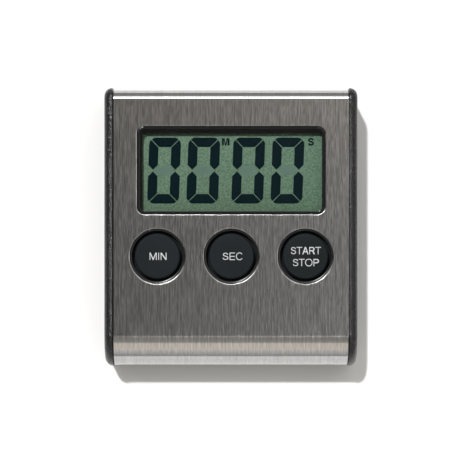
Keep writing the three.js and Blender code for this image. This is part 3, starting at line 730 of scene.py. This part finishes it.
# The spine of the S, whose waist is not made of round arcs.
S_SPINE = [(0.655, 0.715), (0.60, 0.84), (0.475, 0.915), (0.36, 0.9275), (0.22, 0.895), (0.115, 0.80),
           (0.105, 0.70), (0.16, 0.605), (0.30, 0.55), (0.45, 0.505), (0.60, 0.445), (0.675, 0.35),
           (0.675, 0.24), (0.60, 0.14), (0.47, 0.085), (0.37, 0.0725), (0.22, 0.095), (0.11, 0.18),
           (0.08, 0.30)]


def oval(cx, cy, rx, ry, start, end, steps):
    return [(cx + rx * c, cy + ry * s) for c, s in arc(0, 0, 1, start, end, steps)]


def smooth_path(points, steps=4):
    """A Catmull-Rom path through the points."""
    padded = [points[0]] + list(points) + [points[-1]]
    out = []
    for four in zip(padded, padded[1:], padded[2:], padded[3:]):
        for k in range(steps):
            t = k / steps
            out.append(tuple(0.5 * (2 * b + (c - a) * t + (2 * a - 5 * b + 4 * c - d) * t * t
                                    + (3 * b - a - 3 * c + d) * t ** 3) for a, b, c, d in zip(*four)))
    return out + [points[-1]]


def stroke_outline(path, width):
    left, right = [], []
    for i, (x, y) in enumerate(path):
        before, after = path[max(i - 1, 0)], path[min(i + 1, len(path) - 1)]
        dx, dy = after[0] - before[0], after[1] - before[1]
        length = math.hypot(dx, dy)
        nx, ny = -dy / length * width / 2, dx / length * width / 2
        left.append((x + nx, y + ny))
        right.append((x - nx, y - ny))
    return left + right[::-1]


def glyph(letter, s):
    """The outlines of one plain capital of height 1, and its width. s is the stroke width."""
    if letter == "I":
        return [[(0, 0), (s, 0), (s, 1), (0, 1)]], s
    if letter == "T":
        w = 0.8
        return [[(w / 2 - s / 2, 0), (w / 2 + s / 2, 0), (w / 2 + s / 2, 1 - s), (w, 1 - s), (w, 1), (0, 1),
                 (0, 1 - s), (w / 2 - s / 2, 1 - s)]], w
    if letter == "E":
        w = 0.7
        return [[(0, 0), (w, 0), (w, s), (s, s), (s, 0.445), (w - 0.04, 0.445), (w - 0.04, 0.445 + s),
                 (s, 0.445 + s), (s, 1 - s), (w - 0.02, 1 - s), (w - 0.02, 1), (0, 1)]], w
    if letter == "N":
        w = 0.78
        return [[(0, 0), (s, 0), (s, 0.77), (w - s - 0.02, 0), (w, 0), (w, 1), (w - s, 1), (w - s, 0.23),
                 (s + 0.02, 1), (0, 1)]], w
    if letter == "M":
        w, c = 0.94, 0.47
        return [[(0, 0), (s, 0), (s, 0.8), (c - s * 0.45, 0), (c + s * 0.45, 0), (w - s, 0.8), (w - s, 0),
                 (w, 0), (w, 1), (w - s * 1.4, 1), (c, 0.22), (s * 1.4, 1), (0, 1)]], w
    if letter == "A":
        w, c = 0.88, 0.44
        return [[(0, 0), (0.155, 0), (0.254, 0.28), (w - 0.254, 0.28), (w - 0.155, 0), (w, 0), (c + 0.085, 1),
                 (c - 0.085, 1)], [(0.304, 0.42), (c, 0.8), (w - 0.304, 0.42)]], w
    if letter == "R":
        bowl = oval(0.46, 0.715, 0.285, 0.285, -62, 90, 12)
        hole = oval(0.45, 0.7125, 0.1525, 0.1525, 90, -90, 10)
        return [[(0, 0), (s, 0), (s, 0.415), (0.42, 0.415), (0.62, 0), (0.80, 0)] + bowl + [(0, 1)],
                [(s, 0.865)] + hole + [(s, 0.56)]], 0.8
    if letter == "P":
        return [[(0, 0), (s, 0), (s, 0.40)] + oval(0.44, 0.70, 0.30, 0.30, -90, 90, 14) + [(0, 1)],
                [(s, 0.86)] + oval(0.43, 0.70, 0.16, 0.16, 90, -90, 10) + [(s, 0.54)]], 0.74
    if letter == "C":
        return [oval(0.46, 0.5, 0.46, 0.52, 36, 324, 32)
                + oval(0.46, 0.5, 0.46 - s, 0.52 - s, 324, 36, 32)], 0.84
    if letter == "O":
        return [oval(0.5, 0.5, 0.5, 0.52, 0, 360, 36)[:-1],
                oval(0.5, 0.5, 0.5 - s, 0.52 - s, 360, 0, 36)[:-1]], 1.0
    return [stroke_outline(smooth_path(S_SPINE), s)], 0.75


GLYPH_GAP = {"MI": 0.22, "IN": 0.22, "SE": 0.15, "EC": 0.11, "ST": 0.06, "TA": 0.01, "AR": 0.1, "RT": 0.05,
             "TO": 0.06, "OP": 0.14}


def lettering(name, text, centre, size, low, look, slot, body, stroke=0.1):
    """Flat capitals of a given overall width and height, as a thin closed plate."""
    outlines, x = [], 0.0
    for i, letter in enumerate(text):
        shapes, width = glyph(letter, stroke)
        outlines += [[(x + px, py) for px, py in shape] for shape in shapes]
        x += width + GLYPH_GAP.get(text[i:i + 2], 0.0)
    xs = [px for shape in outlines for px, py in shape]
    widen = size[0] / (max(xs) - min(xs))
    middle = (max(xs) + min(xs)) / 2
    curve = bpy.data.curves.new(name, "CURVE")
    curve.dimensions = "2D"
    curve.fill_mode = "BOTH"
    curve.extrude = 0.5
    for shape in outlines:
        spline = curve.splines.new("POLY")
        spline.points.add(len(shape) - 1)
        spline.use_cyclic_u = True
        for point, (px, py) in zip(spline.points, shape):
            point.co = ((px - middle) * widen, (py - 0.5) * size[1], 0, 1)
    source = bpy.data.objects.new(name + "_source", curve)
    bpy.context.collection.objects.link(source)
    bpy.context.view_layer.update()
    mesh = bpy.data.meshes.new_from_object(source.evaluated_get(bpy.context.evaluated_depsgraph_get()))
    bpy.data.objects.remove(source)
    bm = bmesh.new()
    bm.from_mesh(mesh)
    bpy.data.meshes.remove(mesh)
    bmesh.ops.remove_doubles(bm, verts=bm.verts[:], dist=1e-5)
    for v in bm.verts:
        v.co = (v.co.x + centre[0], v.co.y + centre[1], low + (v.co.z + 0.5) * PRINT_DEPTH)
    piece(name, bm, look, body=body, slot=slot, weighted=False)


# ---- Buttons ----
LEGENDS = {
    "min": [("MIN", (-18.5, -7.3), (4.29, 1.86))],
    "sec": [("SEC", (0.42, -7.3), (4.97, 1.88))],
    "start_stop": [("START", (19.05, -5.86), (7.6, 1.86)), ("STOP", (19.05, -8.88), (6.6, 1.86))],
}
LEGEND_SUNK = 0.005
# Profiles of (radius, height).
CAP = soften([(0, 15.1), (2.3, 15.1), (2.3, 16.0), (7.3, 16.0), (7.3, 17.2), (5.8, 17.2), (5.8, CAP_TOP),
              (0, CAP_TOP)], [0, 0.1, 0.1, 0.1, 0.1, 0.1, 0.5, 0], False, 6)
DOME = soften([(0, 14.3), (2.2, 14.3), (4.2, DOME_FOOT), (6, DOME_FOOT), (6, 13.15), (4.8, 13.15), (2.8, 15),
               (0, 15)], [0, 0.3, 0.2, 0.1, 0.1, 0.3, 0.4, 0], False, 4)


def build_buttons():
    """Each button's cap with its printed legend, and the rubber dome under it, which gets a mesh of its own.
    """
    for name, x in BUTTONS.items():
        bm = bmesh.new()
        turned(bm, CAP, x, BUTTON_Y)
        body = name + "_button"
        piece(name + "_cap", bm, "button_charcoal", [name + "_button_cap"], body)
        for text, centre, size in LEGENDS[name]:
            lettering("legend_" + text.lower(), text, centre, size, CAP_TOP - LEGEND_SUNK, "legend_white",
                      "button_charcoal", body)
        bm = bmesh.new()
        turned(bm, DOME, x, BUTTON_Y, 48)
        obj = piece(name + "_rubber_dome", bm, "grey_rubber", [name + "_dome"])
        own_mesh(obj)


# ---- Back and inside ----
STAND = {"hinge_y": 10.5, "hinge_z": 1.4, "hub": 1.15, "pin": 1.0, "pin_reach": 1.4, "half": 9.0,
         "tip_y": -30.0, "low": 0.25, "high": 2.2}
STAND_PAD = {"bars": 4, "half": 5.0, "start": 3.0, "pitch": 1.5, "width": 0.7, "proud": 0.12}
DOOR = {"half": 25.9, "start": 15.4, "low": 0.15, "high": 1.5, "round": 1.5, "tongue": 1.1,
        "tongue_low": 0.95}
DOOR_RIB = {"count": 6, "first_y": 25.0, "pitch": 1.4, "r": 0.34, "flatten": 0.3, "half": 7.0}
MAGNET = {"x": 19.0, "y": 1.0, "radius": 6.0, "height": 3.0}
CELL = {"radius": 5.25, "start": -21.4, "length": 44.5, "nub": 0.8, "nub_radius": 1.9, "y": 21.5, "z": 7.0}


def lie_down(bm, y, z, since=0):
    """Lays what was turned round the vertical at the origin along X instead, at a given height.

    since is the number of vertices that were there before it.
    """
    for v in list(bm.verts)[since:]:
        v.co = (v.co.z, v.co.x + y, v.co.y + z)


def softened_bar(bm, outline, x0, x1, edge=0.15):
    """A (y, z) outline drawn along X, with softened ends. outline(inset) gives its points."""
    steps = [(x0, edge), (x0 + edge * 0.3, edge * 0.3), (x0 + edge, 0.0),
             (x1 - edge, 0.0), (x1 - edge * 0.3, edge * 0.3), (x1, edge)]
    loft(bm, [[(x, y, z) for y, z in outline(inset)] for x, inset in steps])


def door_panel(inset):
    low, high, start, r = DOOR["low"] + inset, DOOR["high"] - inset, DOOR["start"] + inset, DOOR["round"]
    top = COVER["top"]
    curve = arc(top - r, DOOR["low"] + r, r - inset, -70, -18, 8)
    corners = soften([(start, high), (start, low), (top - r, low)], [0.2, 0.2, 0], False, 3)
    return corners[:-1] + curve + [(top - inset, high)]


def door_tongue(inset):
    low, high = DOOR["tongue_low"] + inset, DOOR["high"] - 0.02 - inset
    start, end = DOOR["start"] + 0.1 + inset, COVER["top"] - DOOR["round"] - inset
    return [(start, high), (start, low), (end, low), (end, high)]


def door_rib(middle, inset):
    """A shallow grip rib: a flattened half round facing down, closed inside the panel."""
    r, flatten, low = DOOR_RIB["r"], DOOR_RIB["flatten"], DOOR["low"]
    below = [(middle + y - inset * y / r, low + 0.02 + z * (flatten - inset))
             for y, z in arc(0, 0, r, 180, 360, 8)]
    return below + [(middle + 0.3 - inset, low + 0.2), (middle - 0.3 + inset, low + 0.2)]


def build_door():
    """The battery door: a thin panel with a rounded outer edge, side tongues and grip ribs underneath."""
    bm = bmesh.new()
    softened_bar(bm, door_panel, -DOOR["half"], DOOR["half"])
    for side in (-1, 1):
        x0, x1 = sorted((side * (DOOR["half"] - 0.5), side * (DOOR["half"] + DOOR["tongue"])))
        softened_bar(bm, door_tongue, x0, x1, 0.1)
    for k in range(DOOR_RIB["count"]):
        middle = DOOR_RIB["first_y"] + DOOR_RIB["pitch"] * k
        softened_bar(bm, lambda inset: door_rib(middle, inset), -DOOR_RIB["half"], DOOR_RIB["half"], 0.1)
    piece("battery_cover", bm, "textured_black", ["battery_door"], "door")


def stand_blade(inset):
    half, tip, hinge = STAND["half"] - inset, STAND["tip_y"] + inset, STAND["hinge_y"] - inset
    return soften([(-half, tip), (half, tip), (half, hinge), (-half, hinge)], [2.4, 2.4, 0.3, 0.3], True, 8)


def build_stand():
    """The fold-out leg: a soft-edged blade with a ribbed thumb pad, its hub and two stub pins."""
    low, half = STAND["low"], STAND["half"]
    bm = bmesh.new()
    slab(bm, stand_blade, low, STAND["high"], 0.3, 4)
    for radius, reach in ((STAND["hub"], half), (STAND["pin"], half + STAND["pin_reach"])):
        since = len(bm.verts)
        rod = soften([(0, -reach), (radius, -reach), (radius, reach), (0, reach)], [0, 0.2, 0.2, 0], False, 3)
        turned(bm, rod, 0, 0, 40)
        lie_down(bm, STAND["hinge_y"], STAND["hinge_z"], since)
    for k in range(STAND_PAD["bars"]):
        y = STAND["tip_y"] + STAND_PAD["start"] + STAND_PAD["pitch"] * k
        box(bm, -STAND_PAD["half"], STAND_PAD["half"], y, y + STAND_PAD["width"], low - STAND_PAD["proud"],
            low + 0.3)
    piece("folding_stand", bm, "textured_black", ["stand_leg"], "stand")


def build_magnets():
    r, high = MAGNET["radius"], MAGNET["height"]
    profile = soften([(0, 0), (r, 0), (r, high), (0, high)], [0, 0.35, 0.35, 0], False, 4)
    for side, name in ((-1, "left"), (1, "right")):
        bm = bmesh.new()
        turned(bm, profile, side * MAGNET["x"], MAGNET["y"], 72)
        piece(name + "_disc_magnet", bm, "nickel", [name + "_magnet"])


def cross_outline(x, y, reach, half, turn):
    arm, points = [(reach, -half), (reach, half), (half, half)], []
    for _ in range(4):
        points += arm
        arm = [(-py, px) for px, py in arm]
    c, s = math.cos(turn), math.sin(turn)
    return [(x + px * c - py * s, y + px * s + py * c) for px, py in points]


SCREW_SIDES = 36
# A pan head facing down and a shank, as (radius, height), left open where the head's flat is.
SCREW = soften([(1.62, 0.35), (2.08, 0.62), (2.1, 1.5), (1.05, 1.5), (1.05, 11.4), (0, 12)],
               [0, 0.25, 0.1, 0.1, 0.2, 0], False, 3)
# The cross recess at its mouth and at its floor, as (reach, half width, height).
RECESS = [(1.15, 0.24, 0.35), (0.85, 0.2, 1.1)]


def build_case_screws():
    """Pan-head screws with a cross recess, facing out of the back and each turned a little differently."""
    for i, (x, y) in enumerate(CASE_SCREWS):
        bm = bmesh.new()
        turned(bm, SCREW, x, y, SCREW_SIDES)
        rim = bm.verts[:SCREW_SIDES]
        turn = 0.4 + 1.1 * i
        mouth, floor = [[bm.verts.new((px, py, z)) for px, py in cross_outline(x, y, reach, half, turn)]
                        for reach, half, z in RECESS]
        bridge(bm, mouth, floor)
        bm.faces.new(floor)
        edges = ring_edges(bm, rim) + ring_edges(bm, mouth)
        bmesh.ops.triangle_fill(bm, use_beauty=True, use_dissolve=False, edges=edges)
        piece(f"cross_screw_{i + 1}", bm, "nickel", [f"case_screw_{i + 1}"])


def build_cell():
    """An AAA cell: a shrink sleeve over a nickel can with a raised positive end."""
    r, start, nub, tall = CELL["radius"], CELL["start"], CELL["nub_radius"], CELL["nub"]
    shoulder = start + CELL["length"] - tall
    wrap = [(r - 1.0, start + 0.15), (r, start + 0.15), (r, shoulder - 0.1), (r - 1.1, shoulder - 0.1),
            (r - 1.1, shoulder - 0.6), (r - 1.0, start + 0.6)]
    bm = bmesh.new()
    ring_turned(bm, soften(wrap, [0.1, 0.6, 0.6, 0.1, 0, 0], True), 0, 0, 64)
    lie_down(bm, CELL["y"], CELL["z"])
    piece("cell_wrap", bm, "cell_sleeve", ["battery_cell"])

    can = [(0, start), (r - 1.6, start), (r - 1.2, start + 0.3), (r - 1.2, shoulder - 0.35),
           (nub + 0.5, shoulder - 0.2), (nub, shoulder - 0.1), (nub, shoulder + tall), (0, shoulder + tall)]
    bm = bmesh.new()
    turned(bm, soften(can, [0, 0.2, 0.2, 0.2, 0.2, 0.1, 0.3, 0], False, 3), 0, 0, 64)
    lie_down(bm, CELL["y"], CELL["z"])
    piece("cell_can", bm, "nickel")


CAD_LOOKS = {
    "textured_black": ["rear_housing"],
    "lcd_glass": ["lcd_front_glass", "lcd_rear_glass"],
    "lcd_film": ["lcd_reflector"],
    "grey_rubber": ["zebra_strip"],
    "carbon": [name + "_contact_pill" for name in BUTTONS],
    "board": ["circuit_board"],
    "epoxy": ["timer_chip", "resistor"],
    "ceramic": ["capacitor_1", "capacitor_2", "buzzer_ceramic"],
    "brass": ["buzzer_disc"],
    "lead_red": ["buzzer_lead_live", "battery_lead_plus"],
    "lead_black": ["buzzer_lead_ground", "battery_lead_minus"],
    "nickel": ["quartz_crystal", "battery_contact_minus", "battery_contact_plus", "battery_spring",
               *(f"board_screw_{i + 1}" for i in range(len(BOARD_SCREWS)))],
}


def dress_cad():
    """CAD nodes whose shape is right keep it and get a procedural finish."""
    for look, nodes in CAD_LOOKS.items():
        for node in nodes:
            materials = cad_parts[node].data.materials
            materials.clear()
            materials.append(MAT[look])


# ---- Stage, light and camera ----
def build_stage():
    """A plain pale floor at the height of the timer's back."""
    bm = bmesh.new()
    turned(bm, [(radius, 0.0) for radius in (0.0, 60.0, 200.0, 800.0, 3000.0)], 0, 0, 64)
    n = Nodes(bpy.data.materials.new("pale_floor"))
    cloud = n.noise(n.coords(), 8.0, 2.0)
    tone = n.ramp(n.span(cloud, 0.3, 0.7, 0.0, 1.0),
                  [(0.0, (0.795, 0.795, 0.795)), (1.0, (0.81, 0.81, 0.81))])
    n.shader(tone, 0.8)
    floor = finish_mesh("floor", bm, n.owner, weighted=False)


KEY_FROM = Vector((-0.208, 0.413, 1.0))


def build_light():
    """One soft-edged key light from the upper left, which casts the shadow to the lower right."""
    lamp = bpy.data.lights.new("key", "SUN")
    lamp.energy = 2.75
    lamp.angle = math.radians(2.4)
    key = bpy.data.objects.new("key", lamp)
    key.rotation_euler = KEY_FROM.to_track_quat("Z", "Y").to_euler()
    bpy.context.collection.objects.link(key)


DARK_ROOM = (0.1, 0.1, 0.1)
# Brightness by angle from straight up, in degrees, minus towards the bottom edge and plus towards the top.
STUDIO = [
    (-120, (0.9, 0.9, 0.9)), (-92, (0.9, 0.9, 0.9)), (-90, (0.36, 0.36, 0.36)), (-82, (0.46, 0.46, 0.46)),
    (-74, (0.64, 0.635, 0.63)), (-57, (0.91, 0.86, 0.79)), (-33, (0.89, 0.82, 0.72)),
    (-31.5, (0.46, 0.45, 0.43)), (-24, (0.39, 0.385, 0.365)), (-8, (0.33, 0.325, 0.305)),
    (-5, (0.09, 0.091, 0.092)), (-1, (0.093, 0.093, 0.092)), (3.5, (0.118, 0.113, 0.107)),
    (10, (0.21, 0.19, 0.17)), (17.5, (1.72, 1.69, 1.64)), (40, (1.8, 1.82, 1.85)),
    (46, (0.34, 0.35, 0.37)), (84, (0.31, 0.30, 0.29)),
    (90, (0.3, 0.3, 0.3)), (93, (0.9, 0.9, 0.9)), (120, (0.9, 0.9, 0.9)),
]
STUDIO_REACH = 120.0
# Keeps the ramp's colours below 1: they are divided by it and the background is that much stronger.
STUDIO_STRENGTH = 2.0
SIDE_LIMITS = (-0.3, 0.45)
SIDE_SLOPE = 6.0


def build_world():
    """A studio seen as brightness by direction: a softbox behind, dark gaps, and a cream card in front.

    Away from straight up it gets brighter towards the right. The camera sees plain white past the floor.
    """
    world = bpy.data.worlds.new("studio")
    bpy.context.scene.world = world
    n = Nodes(world, "ShaderNodeOutputWorld")
    x, y, z = n.split(n.add("ShaderNodeTexCoord").outputs["Generated"])
    angle = n.math("MULTIPLY", n.math("ARCTAN2", y, z), 180 / math.pi)
    along = n.span(angle, -STUDIO_REACH, STUDIO_REACH, 0.0, 1.0)
    cards = n.ramp(along, [((at + STUDIO_REACH) / (2 * STUDIO_REACH), shade(color, 1 / STUDIO_STRENGTH))
                           for at, color in STUDIO])
    reach = n.span(n.math("ABSOLUTE", x), 0.5, 0.7, 1.0, 0.0, "SMOOTHSTEP")
    seen_color = n.blend(reach, shade(DARK_ROOM, 1 / STUDIO_STRENGTH), cards)
    band = n.span(n.math("ABSOLUTE", angle), 8.0, 12.0, 1.0, 0.0, "SMOOTHSTEP")
    limited = n.math("MINIMUM", n.math("MAXIMUM", x, SIDE_LIMITS[0]), SIDE_LIMITS[1])
    sideways = n.math("EXPONENT", n.math("MULTIPLY", limited, SIDE_SLOPE))
    gain = n.math("ADD", 1.0, n.math("MULTIPLY", band, n.math("SUBTRACT", sideways, 1.0)))
    seen = n.add("ShaderNodeBackground")
    n.link(seen_color, seen.inputs["Color"])
    n.link(n.math("MULTIPLY", gain, STUDIO_STRENGTH), seen.inputs["Strength"])
    pale = n.add("ShaderNodeBackground")
    pale.inputs["Color"].default_value = (1.0, 1.0, 1.0, 1.0)
    pale.inputs["Strength"].default_value = 1.0
    mix = n.add("ShaderNodeMixShader")
    n.link(n.add("ShaderNodeLightPath").outputs["Is Camera Ray"], mix.inputs[0])
    n.link(seen.outputs["Background"], mix.inputs[1])
    n.link(pale.outputs["Background"], mix.inputs[2])
    n.link(mix.outputs["Shader"], n.out.inputs["Surface"])


CAMERA = {"focal": 154.2, "place": (-0.24, -0.62, 520)}


def build_camera():
    """Looks straight down from half a metre, as in the photograph."""
    data = bpy.data.cameras.new("camera")
    data.lens = CAMERA["focal"]
    data.sensor_width = 36.0
    data.clip_start = 0.01
    data.clip_end = 8.0
    camera = bpy.data.objects.new("camera", data)
    camera.location = [c * MM for c in CAMERA["place"]]
    bpy.context.collection.objects.link(camera)
    bpy.context.scene.camera = camera
    bpy.context.scene.view_settings.view_transform = "Standard"


build_cover()
build_cheeks()
build_chassis()
build_rim()
build_lens()
build_gasket()
build_display()
build_buttons()
build_door()
build_stand()
build_magnets()
build_case_screws()
build_cell()
dress_cad()
build_stage()
build_light()
build_world()
build_camera()
